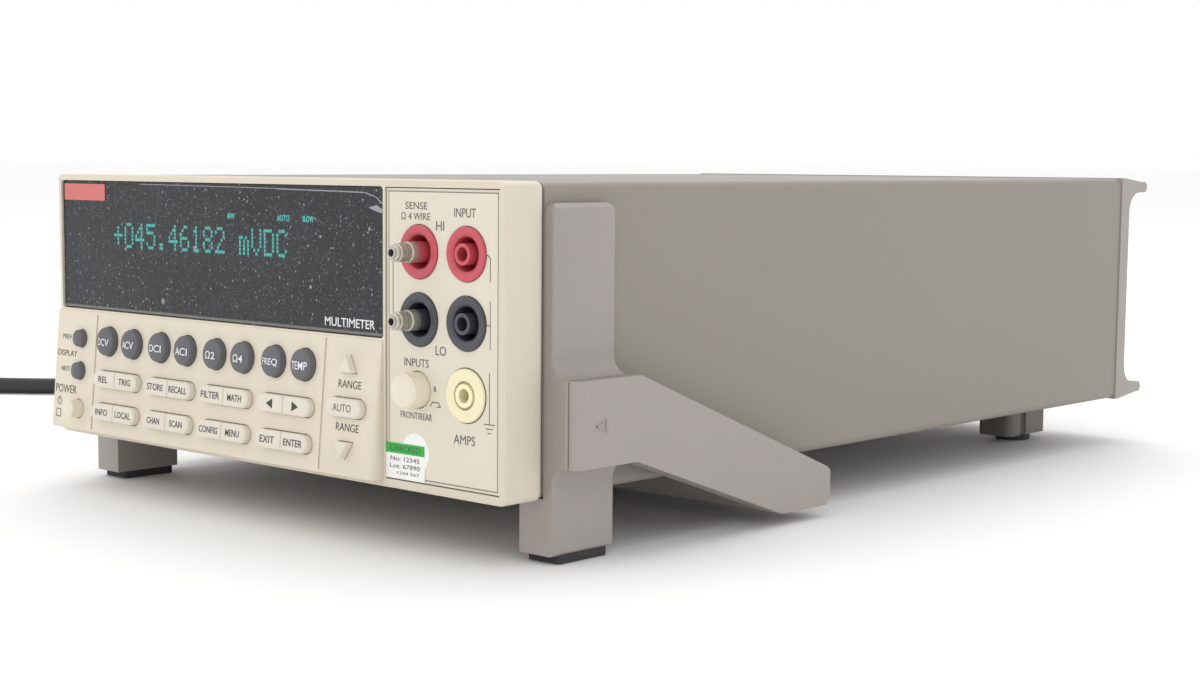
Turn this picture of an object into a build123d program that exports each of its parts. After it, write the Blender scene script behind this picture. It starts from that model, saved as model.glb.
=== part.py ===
"""Half-rack bench multimeter with a carrying handle, built as separate parts.

Millimetres. +X is to the right of somebody who faces the display, +Y runs to the back
and +Z is up. The origin is on the table, under the middle of the instrument.
"""
from build123d import *
import os
from math import cos, pi, radians, sin, tan

os.makedirs("parts", exist_ok=True)

# ---------------------------------------------------------------- driving sizes
case_w = 214.0          # half of a 19 inch rack
case_h = 88.0           # two rack units
clear_h = 18.0          # table to the underside of the case
face_y = -179.0         # front face of the bezel
bezel_t = 15.9          # depth of the front bezel
cover_end = 348.0       # front face to the back of the cover
lip_reach = 369.0       # front face to the tips of the rear lips

half_w = case_w / 2
base_z = clear_h
top_z = clear_h + case_h
mid_z = clear_h + case_h / 2
panel_y = face_y + cover_end    # outer face of the rear panel

skin = 2.4              # moulded wall of the bezel
gap = 0.25              # free gap around a key
step = 0.02             # seat between pieces that are pressed together

# display window
window_left = -105.0
window_right = 58.5
window_bottom = 60.7
window_top = 104.0
lens_y = face_y + 0.7   # front of the lens
lens_t = 1.7

# key field: a wedge that stands further out towards the bottom
field_top = 60.0
field_bottom = 20.0
field_right = 58.4
field_lip = 0.3         # how far its top edge stands out
field_lean = 5.0        # degrees
field_rise = (field_top - field_bottom) * tan(radians(field_lean))

# terminal panel
terminal_left = 59.3
terminal_right = 105.2
terminal_bottom = 20.6
terminal_top = 103.9
terminal_y = face_y + 0.5
terminal_t = 1.9
sense_x = 73.0
input_x = 92.0
hi_z = 86.0
lo_z = 67.0
amps_z = 47.2
inputs_x = 72.4
inputs_z = 47.2

# banana jack, all radii
jack_flange_r = 7.6
jack_neck_r = 6.0
jack_well_r = 4.6
jack_tube_r = 3.0
jack_bore_r = 2.0
jack_proud = 0.8
jack_tube_out = 1.0     # how far the inner tube stands in front of the flange
jack_depth = 20.0

# side ears, handle and feet
ear_front = face_y + 16.0
ear_back = face_y + 41.0
ear_inner = half_w - 0.5
ear_outer = 110.0
ear_top = 100.0
hub_face = 115.2
hub_half = 12.4
hub_flare = 5.2
foot_inner = 97.4
pad_h = 2.4
pivot_y = face_y + 28.5
pivot_z = 39.6
pivot_r = 6.0
arm_inner = 110.8
arm_outer = 119.0
arm_half = 12.2
grip_front = face_y + 110.0
grip_back = face_y + 135.0
grip_bottom = 3.7
grip_top = 15.8

# mains lead
cord_r = 3.65
inlet_x = -72.0
inlet_z = 45.0


# ---------------------------------------------------------------- sketch planes
def facing(y):
    """A plane that looks to the front, with sketch axes X and Z."""
    return Plane.XZ.offset(-y)


def behind(y):
    """A plane that looks to the back, with sketch axes -X and Z."""
    return Plane(origin=(0, y, 0), x_dir=(-1, 0, 0), z_dir=(0, 1, 0))


def across(x):
    """A plane that looks to +X, with sketch axes Y and Z."""
    return Plane.YZ.offset(x)


def level(z):
    """A plane that looks up, with sketch axes X and Y."""
    return Plane.XY.offset(z)


lean = radians(field_lean)
field_out = Vector(0, -cos(lean), sin(lean))
field = Plane(origin=(0, face_y - field_lip, field_top), x_dir=(1, 0, 0), z_dir=field_out)
outward = Axis((0, 0, 0), (0, -cos(lean), sin(lean)))


def drop(z):
    """Sketch coordinate on the key field for a height above the table."""
    return (z - field_top) / cos(lean)


def spin_plane(origin, out):
    """A plane for a section: sketch X is the radius and sketch Y runs along out."""
    return Plane(origin=origin, x_dir=(1, 0, 0), z_dir=Vector(1, 0, 0).cross(out))


# ---------------------------------------------------------------- layout of the keys
column_first = -69.1
column_pitch = 29.1
pair_half = 6.95
columns = [column_first + column_pitch * i for i in range(4)]
function_z = 50.8
upper_z = 38.2
lower_z = 27.4
function_r = 4.8
pill_l = 24.6
pill_h = 5.6
small_x = -92.2
prev_z = 50.8
next_z = 39.9
small_r = 2.9
power_r = 3.1
power_z = 27.1
range_x = 45.5
auto_z = 39.8
up_z = 52.6
down_z = 27.3
range_l = 15.4
arrow_half = 3.3
arrow_h = 5.7

function_names = ["dcv", "acv", "dci", "aci", "ohm2", "ohm4", "freq", "temp"]
upper_names = ["rel", "trig", "store", "recall", "filter", "math", "left", "right"]
lower_names = ["info", "local", "chan", "scan", "config", "menu", "exit", "enter"]
function_rise = 2.2
function_crown = 0.7
pill_rise = 2.3
arrow_rise = 2.5
power_rise = 4.2
key_round = 0.6
collar_out = 0.7        # collar that keeps a key behind the skin
collar_t = 0.8
stem_end = 8.4          # depth of a stem below the key field

function_xs = []
for centre in columns:
    function_xs += [centre - pair_half, centre + pair_half]
up_arrow = [(-arrow_half, -arrow_h / 2), (arrow_half, -arrow_h / 2), (0, arrow_h / 2)]
down_arrow = [(arrow_half, arrow_h / 2), (-arrow_half, arrow_h / 2), (0, -arrow_h / 2)]

# ---------------------------------------------------------------- front bezel
rear_round = 2.5
front_round = 0.9
groove_xs = (-83.6, 34.1)
groove_w = 1.0
groove_depth = 0.4

with BuildPart() as front_bezel:
    with BuildSketch(facing(face_y + bezel_t)):
        with Locations((0, mid_z)):
            RectangleRounded(case_w, case_h, 2.0)
    extrude(amount=bezel_t)
    back_edges = front_bezel.edges().group_by(Axis.Y)[-1].filter_by(Axis.X)
    fillet(back_edges, rear_round)
    fillet(front_bezel.edges().group_by(Axis.Y)[0], front_round)
    for wedge_z, lip, corner_r in ((field_bottom, field_lip + field_rise, 2.4), (field_top, field_lip, 0.2)):
        with BuildSketch(level(wedge_z)) as wedge_end:
            with Locations(((field_right - half_w) / 2, face_y + (skin - lip) / 2)):
                Rectangle(field_right + half_w, skin + lip)
            fillet(wedge_end.vertices().sort_by(Axis.Y)[:2].sort_by(Axis.X)[-1], corner_r)
    loft(ruled=True)
    with BuildSketch(facing(face_y + bezel_t)):
        with Locations((0, mid_z)):
            Rectangle(case_w - 2 * skin, case_h - 2 * skin)
    extrude(amount=bezel_t - skin, mode=Mode.SUBTRACT)
    with BuildSketch(facing(face_y + skin)):
        with Locations(((window_left + window_right) / 2, (window_bottom + window_top) / 2)):
            RectangleRounded(window_right - window_left, window_top - window_bottom, 1.2)
        with Locations(((terminal_left + terminal_right) / 2, (terminal_bottom + terminal_top) / 2)):
            Rectangle(terminal_right - terminal_left, terminal_top - terminal_bottom)
    extrude(amount=2 * skin, mode=Mode.SUBTRACT)
    with BuildSketch(field.offset(8)):
        with Locations([(x, drop(function_z)) for x in function_xs]):
            Circle(function_r + gap)
        with Locations([(x, drop(z)) for x in columns for z in (upper_z, lower_z)]):
            SlotOverall(pill_l + 2 * gap, pill_h + 2 * gap)
        with Locations((small_x, drop(prev_z)), (small_x, drop(next_z))):
            Circle(small_r + gap)
        with Locations((small_x, drop(power_z))):
            Circle(power_r + gap)
        with Locations((range_x, drop(auto_z))):
            SlotOverall(range_l + 2 * gap, pill_h + 2 * gap)
        with Locations((range_x, drop(up_z))):
            Polygon(*up_arrow, align=None)
        with Locations((range_x, drop(down_z))):
            Polygon(*down_arrow, align=None)
    extrude(amount=-30, mode=Mode.SUBTRACT)
    with BuildSketch(field):
        with Locations([(x, drop((field_top + field_bottom) / 2)) for x in groove_xs]):
            Rectangle(groove_w, 38.6)
    extrude(amount=-groove_depth, mode=Mode.SUBTRACT)
    with BuildSketch(across(-half_w + skin)):
        with BuildLine():
            Polyline(
                (face_y + skin + 0.5, field_top - 1),
                (face_y - field_lip + skin, field_top - 1),
                (face_y - field_lip + skin - (field_top - 22.5) * tan(lean), 22.5),
                (face_y + skin + 0.5, 22.5),
                close=True,
            )
        make_face()
    extrude(amount=field_right + half_w - 2 * skin, mode=Mode.SUBTRACT)
front_bezel.part.label = "front_bezel"
export_step(front_bezel.part, "parts/front_bezel.step")

# ---------------------------------------------------------------- display
with BuildPart() as display_lens:
    with BuildSketch(facing(lens_y + lens_t)):
        with Locations(((window_left + window_right) / 2, (window_bottom + window_top) / 2)):
            RectangleRounded(
                window_right - window_left - 2 * step, window_top - window_bottom - 2 * step, 1.2
            )
    extrude(amount=lens_t)
    fillet(display_lens.edges().group_by(Axis.Y)[0], 0.4)
display_lens.part.label = "display_lens"
export_step(display_lens.part, "parts/display_lens.step")

tube_left = -92.0
tube_right = 48.0
tube_bottom = 67.0
tube_top = 100.0
tube_y = face_y + 5.0
board_y = face_y + 12.5
board_t = 1.6

with BuildPart() as display_tube:
    tube_centre = ((tube_left + tube_right) / 2, (tube_bottom + tube_top) / 2)
    with BuildSketch(facing(board_y)):
        with Locations(tube_centre):
            RectangleRounded(tube_right - tube_left, tube_top - tube_bottom, 1.5)
    extrude(amount=board_y - tube_y)
    with BuildSketch(facing(board_y)):
        with Locations(tube_centre):
            Rectangle(tube_right - tube_left - 8, tube_top - tube_bottom - 8)
    extrude(amount=1.5, mode=Mode.SUBTRACT)
display_tube.part.label = "display_tube"
export_step(display_tube.part, "parts/display_tube.step")

switch_xs = function_xs + [small_x, small_x]
switch_zs = [function_z] * len(function_xs) + [prev_z, next_z]

with BuildPart() as front_board:
    with BuildSketch(facing(board_y + board_t)):
        with Locations((-22.7, 62.2)):
            Rectangle(163.0, 82.0)
    extrude(amount=board_t)
    with BuildSketch(facing(board_y)):
        with Locations(list(zip(switch_xs, switch_zs))):
            Rectangle(6.0, 6.0)
        with Locations([(x + s * pair_half, z) for x in columns for z in (38, 27.3) for s in (-1, 1)]):
            Rectangle(4.5, 4.5)
    extrude(amount=1.6)
front_board.part.label = "front_board"
export_step(front_board.part, "parts/front_board.step")


# ---------------------------------------------------------------- keys
def round_key(name, x, z, radius, rise, crown, depth):
    """A round key with a crowned face, a collar behind the skin and a stem."""
    seat = field.origin + field.y_dir * drop(z) + Vector(x, 0, 0)
    with BuildPart() as key:
        with BuildSketch(spin_plane(seat, field_out)):
            with BuildLine():
                Polyline(
                    (0, rise + crown),
                    (0, -depth),
                    (radius * 0.5, -depth),
                    (radius * 0.5, -skin - collar_t - 0.3),
                    (radius + collar_out, -skin - collar_t - 0.3),
                    (radius + collar_out, -skin - 0.3),
                    (radius, -skin - 0.3),
                    (radius, 0),
                    (radius * 0.97, rise - key_round),
                )
                flat = radius * 0.97 - key_round
                rim = RadiusArc((flat + key_round, rise - key_round), (flat, rise), -key_round)
                RadiusArc(rim @ 1, (0, rise + crown), -(flat ** 2 + crown ** 2) / (2 * crown))
            make_face()
        revolve(axis=Axis(seat, field_out))
    key.part.label = name
    export_step(key.part, f"parts/{name}.step")


def pill_key(name, x, z, length, side):
    """A pill-shaped key. side -1 or 1 makes the left or right half of a split pair."""
    split = 0.15
    with BuildPart() as key:
        for low, high, grow in ((0.0, pill_rise, 0.0), (-skin - 0.3, 0.0, 0.0),
                                (-skin - 0.3 - collar_t, -skin - 0.3, collar_out)):
            with BuildSketch(field.offset(low)):
                with Locations((x, drop(z))):
                    SlotOverall(length + 2 * grow, pill_h + 2 * grow)
                if side:
                    with Locations((x - side * (length / 2 + 2 - split), drop(z))):
                        Rectangle(length + 4, pill_h + 4, mode=Mode.SUBTRACT)
            extrude(amount=high - low)
        with BuildSketch(field.offset(-skin - 0.3 - collar_t)):
            with Locations((x + side * length / 4, drop(z))):
                Circle(1.8)
        extrude(amount=-(stem_end - skin - 0.3 - collar_t))
        crown_edges = key.faces().sort_by(outward)[-1].edges()
        fillet(crown_edges, 0.7)
    key.part.label = name
    export_step(key.part, f"parts/{name}.step")


def arrow_key(name, z, corners):
    """A triangular key of the range column."""
    inner = [(x * 0.9, y * 0.86 - (0.15 if corners is up_arrow else -0.15)) for x, y in corners]
    with BuildPart() as key:
        with BuildSketch(field.offset(-skin - 0.3)):
            with Locations((range_x, drop(z))):
                Polygon(*inner, align=None)
        extrude(amount=skin + 0.3 + arrow_rise)
        crown_edges = key.faces().sort_by(outward)[-1].edges()
        fillet(crown_edges, 0.4)
        with BuildSketch(field.offset(-skin - 0.3)):
            with Locations((range_x, drop(z))):
                Circle(arrow_half + collar_out)
        extrude(amount=-collar_t)
        with BuildSketch(field.offset(-skin - 0.3 - collar_t)):
            with Locations((range_x, drop(z))):
                Circle(1.6)
        extrude(amount=-(stem_end - skin - 0.3 - collar_t))
    key.part.label = name
    export_step(key.part, f"parts/{name}.step")


for key_name, key_x in zip(function_names, function_xs):
    round_key(f"{key_name}_key", key_x, function_z, function_r, function_rise, function_crown, stem_end)
round_key("prev_key", small_x, prev_z, small_r, 2.2, 0.5, stem_end)
round_key("next_key", small_x, next_z, small_r, 2.2, 0.5, stem_end)
round_key("power_button", small_x, power_z, power_r, power_rise, 0.3, stem_end - 1.5)

for row_names, row_z in ((upper_names, upper_z), (lower_names, lower_z)):
    for index, key_name in enumerate(row_names):
        pair_side = 1 if index % 2 else -1
        pill_key(f"{key_name}_key", columns[index // 2], row_z, pill_l, pair_side)
pill_key("auto_key", range_x, auto_z, range_l, 0)
arrow_key("range_up_key", up_z, up_arrow)
arrow_key("range_down_key", down_z, down_arrow)

# ---------------------------------------------------------------- terminal panel
fuse_neck_r = 5.0
fuse_hole_r = fuse_neck_r + 0.06
inputs_r = 5.1
inputs_rod_r = 3.0

with BuildPart() as terminal_panel:
    panel_w = terminal_right - terminal_left - 2 * step
    panel_h = terminal_top - terminal_bottom - 2 * step
    with BuildSketch(facing(terminal_y + terminal_t)):
        with Locations(((terminal_left + terminal_right) / 2, (terminal_bottom + terminal_top) / 2)):
            Rectangle(panel_w, panel_h)
    extrude(amount=terminal_t)
    with BuildSketch(facing(terminal_y + terminal_t)):
        with Locations((input_x, amps_z)):
            Circle(fuse_hole_r + 2.0)
        with Locations((inputs_x, inputs_z)):
            Circle(inputs_r + 2.0)
    extrude(amount=-8.0)
    with BuildSketch(facing(terminal_y)):
        with Locations([(x, z) for x in (sense_x, input_x) for z in (hi_z, lo_z)]):
            Circle(jack_neck_r + step)
        with Locations((input_x, amps_z)):
            Circle(fuse_hole_r)
        with Locations((inputs_x, inputs_z)):
            Circle(inputs_r + gap)
    extrude(amount=-14, mode=Mode.SUBTRACT)
    with BuildSketch(facing(terminal_y)):
        with Locations(((terminal_left + terminal_right) / 2, (terminal_bottom + terminal_top) / 2)):
            Rectangle(panel_w - 2.0, panel_h - 2.0)
            Rectangle(panel_w - 2.6, panel_h - 2.6, mode=Mode.SUBTRACT)
    extrude(amount=-0.3, mode=Mode.SUBTRACT)
    with BuildSketch(facing(terminal_y)):
        with Locations(((terminal_left + terminal_right) / 2, (terminal_bottom + terminal_top) / 2)):
            Rectangle(panel_w + 2, panel_h + 2)
            Rectangle(panel_w - 0.6, panel_h - 0.6, mode=Mode.SUBTRACT)
    extrude(amount=-0.7, mode=Mode.SUBTRACT)
terminal_panel.part.label = "terminal_panel"
export_step(terminal_panel.part, "parts/terminal_panel.step")


def jack(base, out, proud, depth):
    """A shrouded banana jack. In its section X is the radius and Y is out of the panel."""
    with BuildPart() as one_jack:
        with BuildSketch(spin_plane(base, out)):
            with BuildLine():
                Polyline(
                    (jack_flange_r - 0.6, proud),
                    (jack_well_r + 1.0, proud),
                    (jack_well_r + 0.3, proud - 0.5),
                    (jack_well_r, proud - 1.4),
                    (jack_well_r, -9),
                    (jack_tube_r, -9),
                    (jack_tube_r, proud + jack_tube_out),
                    (jack_bore_r, proud + jack_tube_out),
                    (jack_bore_r, -depth + 3),
                    (0, -depth + 3),
                    (0, -depth),
                    (jack_neck_r, -depth),
                    (jack_neck_r, 0),
                    (jack_flange_r, 0),
                    (jack_flange_r, proud - 0.6),
                )
                RadiusArc((jack_flange_r, proud - 0.6), (jack_flange_r - 0.6, proud), -0.6)
            make_face()
        revolve(axis=Axis(base, out))
    return one_jack.part


rear_jack_xs = (88.0, 69.0)
rear_hi_z = 78.0
rear_lo_z = 59.0
front_out = Vector(0, -1, 0)
back_out = Vector(0, 1, 0)

with BuildPart() as jacks_red:
    for jack_x in (sense_x, input_x):
        add(jack((jack_x, terminal_y, hi_z), front_out, jack_proud, jack_depth))
    for jack_x in rear_jack_xs:
        add(jack((jack_x, panel_y, rear_hi_z), back_out, 5.0, 12.0))
jacks_red.part.label = "jacks_red"
export_step(jacks_red.part, "parts/jacks_red.step")

with BuildPart() as jacks_black:
    for jack_x in (sense_x, input_x):
        add(jack((jack_x, terminal_y, lo_z), front_out, jack_proud, jack_depth))
    for jack_x in rear_jack_xs:
        add(jack((jack_x, panel_y, rear_lo_z), back_out, 5.0, 12.0))
jacks_black.part.label = "jacks_black"
export_step(jacks_black.part, "parts/jacks_black.step")

adapter_reach = 10.1    # front face of the bezel to the tip of an adapter

with BuildPart() as sense_adapters:
    for socket_z in (hi_z, lo_z):
        base = (sense_x, face_y, socket_z)
        with BuildSketch(spin_plane(base, front_out)):
            with BuildLine():
                Polyline(
                    (0, -13.5),
                    (jack_bore_r - step, -13.5),
                    (jack_bore_r - step, 1.3 + step),
                    (2.95, 1.3 + step),
                    (2.95, 4.2),
                    (2.65, 4.5),
                    (2.65, 8.1),
                    (2.3, 8.3),
                    (2.3, 9.1),
                    (1.65, 9.5),
                    (1.65, adapter_reach),
                    (1.1, adapter_reach),
                    (1.1, 4.0),
                    (0, 4.0),
                    close=True,
                )
            make_face()
        revolve(axis=Axis(base, front_out))
        for ridge in range(4):
            with BuildSketch(spin_plane(base, front_out)):
                with Locations((2.65, 5.0 + 0.85 * ridge)):
                    Rectangle(0.6, 0.4)
            revolve(axis=Axis(base, front_out), mode=Mode.SUBTRACT)
sense_adapters.part.label = "sense_adapters"
export_step(sense_adapters.part, "parts/sense_adapters.step")

with BuildPart() as amps_fuse_carrier:
    carrier_base = (input_x, terminal_y, amps_z)
    with BuildSketch(spin_plane(carrier_base, front_out)):
        with BuildLine():
            Polyline(
                (7.0, 0.9),
                (4.1, 0.9),
                (4.1, -0.8),
                (3.3, -0.8),
                (3.3, 1.1),
                (jack_bore_r, 1.1),
                (jack_bore_r, -22),
                (0, -22),
                (0, -26),
                (fuse_neck_r, -26),
                (fuse_neck_r, 0.1),
                (7.5, 0.1),
                (7.5, 0.4),
            )
            RadiusArc((7.5, 0.4), (7.0, 0.9), -0.5)
        make_face()
    revolve(axis=Axis(carrier_base, front_out))
amps_fuse_carrier.part.label = "amps_fuse_carrier"
export_step(amps_fuse_carrier.part, "parts/amps_fuse_carrier.step")

with BuildPart() as inputs_button:
    button_base = (inputs_x, terminal_y, inputs_z)
    with BuildSketch(spin_plane(button_base, front_out)):
        with BuildLine():
            Polyline(
                (0, 6.3),
                (inputs_r - 0.7, 6.3),
                (inputs_r, 5.6),
                (inputs_r, -4.0),
                (inputs_rod_r, -4.0),
                (inputs_rod_r, -60.0),
                (0, -60.0),
                close=True,
            )
        make_face()
    revolve(axis=Axis(button_base, front_out))
    fillet(inputs_button.edges().group_by(Axis.Y)[0], 0.3)
inputs_button.part.label = "inputs_button"
export_step(inputs_button.part, "parts/inputs_button.step")

# ---------------------------------------------------------------- case
cover_w = case_w - 1.0
cover_h = case_h - 0.6
cover_t = 1.5
cover_front = face_y + bezel_t
cover_round = 2.6

with BuildPart() as case_cover:
    with BuildSketch(facing(panel_y)):
        with Locations((0, mid_z)):
            RectangleRounded(cover_w, cover_h, cover_round)
            RectangleRounded(cover_w - 2 * cover_t, cover_h - 2 * cover_t, cover_round - cover_t + 0.2,
                             mode=Mode.SUBTRACT)
    extrude(amount=panel_y - cover_front)
case_cover.part.label = "case_cover"
export_step(case_cover.part, "parts/case_cover.step")

tray_t = 1.2
tray_w = cover_w - 2 * cover_t - 2.0
tray_bottom = base_z + 0.3 + cover_t + 0.2
fan_x = -72.0
fan_z = 76.5
fan_half = 16.0
bus_x = -8.0
bus_z = 42.0
serial_x = -8.0
serial_z = 64.0
bnc_x = 44.0
din_x = 22.0
panel_bottom = tray_bottom
panel_top = top_z - 0.3 - cover_t - 0.4

with BuildPart() as chassis:
    with BuildSketch(level(tray_bottom)):
        with Locations((0, (cover_front + panel_y) / 2)):
            Rectangle(tray_w, panel_y - cover_front - 0.6)
    extrude(amount=tray_t)
    with BuildSketch(facing(panel_y)):
        with Locations((0, (panel_bottom + panel_top) / 2)):
            Rectangle(tray_w, panel_top - panel_bottom)
    extrude(amount=1.5)
    for wall in (-1, 1):
        with BuildSketch(level(tray_bottom)):
            with Locations((wall * (tray_w / 2 - tray_t / 2), (cover_front + panel_y) / 2)):
                Rectangle(tray_t, panel_y - cover_front - 0.6)
        extrude(amount=16.0)
    with BuildSketch(facing(panel_y + 1)):
        with Locations([(x, z) for x in rear_jack_xs for z in (rear_hi_z, rear_lo_z)]):
            Circle(jack_neck_r + step)
        with Locations((inlet_x, inlet_z)):
            Rectangle(30.0, 21.0)
        with Locations((bus_x, bus_z)):
            Rectangle(42.0, 11.0)
        with Locations((serial_x, serial_z)):
            Rectangle(19.0, 9.0)
        with Locations((bnc_x, rear_hi_z), (bnc_x, rear_lo_z)):
            Circle(4.8)
        with Locations((din_x, rear_hi_z), (din_x, rear_lo_z)):
            Circle(6.0)
        for row in range(7):
            half_row = row - 3
            width = 2 * (fan_half ** 2 - (half_row * 4.2) ** 2) ** 0.5
            with Locations((fan_x, fan_z + half_row * 4.2)):
                SlotOverall(width, 2.4)
    extrude(amount=4.0, mode=Mode.SUBTRACT)
chassis.part.label = "chassis"
export_step(chassis.part, "parts/chassis.step")

lip_y = face_y + lip_reach
ring_y = face_y + 354.5
opening_w = 200.0
opening_bottom = 31.0
opening_top = 93.0

with BuildPart() as rear_bezel:
    with BuildSketch(across(-half_w)):
        with BuildLine():
            Polyline(
                (lip_y - 3.0, base_z + 1.8),
                (panel_y + 2, base_z),
                (panel_y, base_z),
                (panel_y, top_z),
                (panel_y + 2, top_z),
                (lip_y - 3.0, top_z - 1.8),
            )
            top_tip = ThreePointArc(
                (lip_y - 3.0, top_z - 1.8), (lip_y, top_z - 3.9), (lip_y - 3.0, top_z - 5.5)
            )
            Line(top_tip @ 1, (ring_y + 6.5, top_z - 5.9))
            top_flare = ThreePointArc(
                (ring_y + 6.5, top_z - 5.9), (ring_y + 2.1, top_z - 8.2), (ring_y, top_z - 13.0)
            )
            Line(top_flare @ 1, (ring_y, base_z + 13.0))
            low_flare = ThreePointArc(
                (ring_y, base_z + 13.0), (ring_y + 2.1, base_z + 8.2), (ring_y + 6.5, base_z + 5.9)
            )
            Line(low_flare @ 1, (lip_y - 3.0, base_z + 5.5))
            ThreePointArc((lip_y - 3.0, base_z + 5.5), (lip_y, base_z + 3.9), (lip_y - 3.0, base_z + 1.8))
        make_face()
    extrude(amount=case_w)
    with BuildSketch(facing(panel_y)):
        with Locations((0, (opening_bottom + opening_top) / 2)):
            RectangleRounded(opening_w, opening_top - opening_bottom, 2.5)
    extrude(amount=-30, mode=Mode.SUBTRACT)
rear_bezel.part.label = "rear_bezel"
export_step(rear_bezel.part, "parts/rear_bezel.step")


# ---------------------------------------------------------------- ears, handle, feet
hub_top = pivot_z + hub_half
hub_low = pivot_z - hub_half
flare_mid = hub_flare * (1 - cos(pi / 4))

with BuildPart() as right_ear:
    with BuildSketch(facing(ear_back)):
        with BuildLine():
            Polyline(
                (ear_outer, hub_top + hub_flare),
                (ear_outer, ear_top - 1.2),
                (ear_outer - 1.2, ear_top),
                (ear_inner, ear_top),
                (ear_inner, base_z + 0.3),
                (foot_inner, base_z + 0.3),
                (foot_inner, pad_h),
                (ear_outer - 0.8, pad_h),
                (ear_outer, pad_h + 0.8),
                (ear_outer, hub_low - hub_flare),
            )
            low_arc = ThreePointArc(
                (ear_outer, hub_low - hub_flare),
                (ear_outer + flare_mid, hub_low - flare_mid),
                (ear_outer + hub_flare, hub_low),
            )
            Line(low_arc @ 1, (ear_outer + hub_flare, hub_top))
            ThreePointArc(
                (ear_outer + hub_flare, hub_top),
                (ear_outer + flare_mid, hub_top + flare_mid),
                (ear_outer, hub_top + hub_flare),
            )
        make_face()
    extrude(amount=ear_back - ear_front)
    with BuildSketch(across(hub_face + 1)):
        with Locations((pivot_y, pivot_z)):
            Circle(pivot_r + 0.05)
    extrude(amount=-6.0, mode=Mode.SUBTRACT)
    tops = right_ear.edges().filter_by(Axis.X).group_by(Axis.Z)[-1]
    fillet(tops, 2.6)
    front_edges = right_ear.edges().group_by(Axis.Y)[0].filter_by(
        lambda edge: edge.center().X > ear_outer - 0.4 and pad_h + 1 < edge.center().Z < ear_top - 1.5
    )
    fillet(front_edges, 0.7)
right_ear.part.label = "right_ear"
export_step(right_ear.part, "parts/right_ear.step")

with BuildPart() as left_ear:
    add(right_ear.part.mirror(Plane.YZ))
left_ear.part.label = "left_ear"
export_step(left_ear.part, "parts/left_ear.step")

with BuildPart() as handle:
    with BuildSketch(across(-arm_outer)):
        with BuildLine():
            Polyline(
                (ear_front + 0.5, pivot_z - arm_half),
                (ear_front + 0.5, pivot_z + arm_half),
                (face_y + 42.9, pivot_z + arm_half),
                (grip_back - 1.2, grip_top),
                (grip_back, grip_top - 1.4),
                (grip_back, grip_bottom + 2.6),
                (grip_back - 2.6, grip_bottom),
                (grip_front, grip_bottom),
                (face_y + 41.4, pivot_z - arm_half),
                close=True,
            )
        make_face()
    extrude(amount=2 * arm_outer)
    front_corners = handle.edges().filter_by(Axis.Z)
    fillet(front_corners.group_by(Axis.Y)[0], 3.0)
    with BuildSketch(across(-arm_inner)):
        with BuildLine():
            Polyline(
                (ear_front - 20, -20),
                (ear_front - 20, 90),
                (grip_front + 60, 90),
                (grip_front + 60, grip_top - 0.001),
                (grip_front + 2, grip_top - 0.001),
                (grip_front - 1.5, grip_top - 3),
                (grip_front - 1.5, -20),
                close=True,
            )
        make_face()
    extrude(amount=2 * arm_inner, mode=Mode.SUBTRACT)
    for arm in (-1, 1):
        with BuildSketch(across(arm * arm_inner)):
            with Locations((pivot_y, pivot_z)):
                Circle(20.0)
        extrude(amount=arm * (hub_face + 0.3 - arm_inner), mode=Mode.SUBTRACT)
        with BuildSketch(across(arm * (hub_face + 0.3))):
            with Locations((pivot_y, pivot_z)):
                Circle(pivot_r)
        extrude(amount=-arm * 4.6)
handle.part.label = "handle"
export_step(handle.part, "parts/handle.step")

rear_foot_x = 69.5
rear_foot_y = face_y + 333.0

with BuildPart() as rear_feet:
    for foot_side in (-1, 1):
        with BuildSketch(level(pad_h)):
            with Locations((foot_side * rear_foot_x, rear_foot_y)):
                RectangleRounded(15.0, 29.0, 3.0)
            with Locations((foot_side * (rear_foot_x + 7.5), rear_foot_y - 4.0)):
                Circle(2.2, mode=Mode.SUBTRACT)
        extrude(amount=base_z + 0.3 - pad_h)
rear_feet.part.label = "rear_feet"
export_step(rear_feet.part, "parts/rear_feet.step")

with BuildPart() as foot_pads:
    for pad_side in (-1, 1):
        with BuildSketch(level(0)):
            with Locations((pad_side * 103.6, face_y + 29.2)):
                RectangleRounded(12.0, 20.4, 1.2)
            with Locations((pad_side * rear_foot_x, rear_foot_y + 1.0)):
                Circle(6.8)
        extrude(amount=pad_h)
foot_pads.part.label = "foot_pads"
export_step(foot_pads.part, "parts/foot_pads.step")

# ---------------------------------------------------------------- inside the case
tray_top = tray_bottom + tray_t

with BuildPart() as digital_board:
    with BuildSketch(level(tray_top + 6)):
        with Locations((0, face_y + 178)):
            Rectangle(196, 300)
        with Locations((-66, face_y + 295)):
            Rectangle(72, 74, mode=Mode.SUBTRACT)
    extrude(amount=1.6)
    with BuildSketch(level(tray_top + 6)):
        with Locations((-90, -142), (90, -142), (-92, 0), (92, 0), (-20, 142), (90, 142)):
            Circle(2.5)
    extrude(amount=-6)
    with BuildSketch(level(tray_top + 7.6)):
        with GridLocations(44, 46, 3, 4):
            Rectangle(28, 12)
    extrude(amount=3.5)
digital_board.part.label = "digital_board"
export_step(digital_board.part, "parts/digital_board.step")

with BuildPart() as analog_board:
    with BuildSketch(level(62)):
        with Locations((16, face_y + 165)):
            Rectangle(164, 250)
        with Locations((73, face_y + 55)):
            Rectangle(52, 40, mode=Mode.SUBTRACT)
    extrude(amount=1.6)
    with BuildSketch(level(63.6)):
        with Locations((-8, face_y + 190)):
            Rectangle(96, 120)
            Rectangle(93, 117, mode=Mode.SUBTRACT)
    extrude(amount=18)
    with BuildSketch(level(tray_top + 7.6)):
        with Locations([(x, y) for x in (-36, 92) for y in (-89, 85)]):
            Circle(3.2)
    extrude(amount=62 - tray_top - 7.6)
analog_board.part.label = "analog_board"
export_step(analog_board.part, "parts/analog_board.step")

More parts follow.
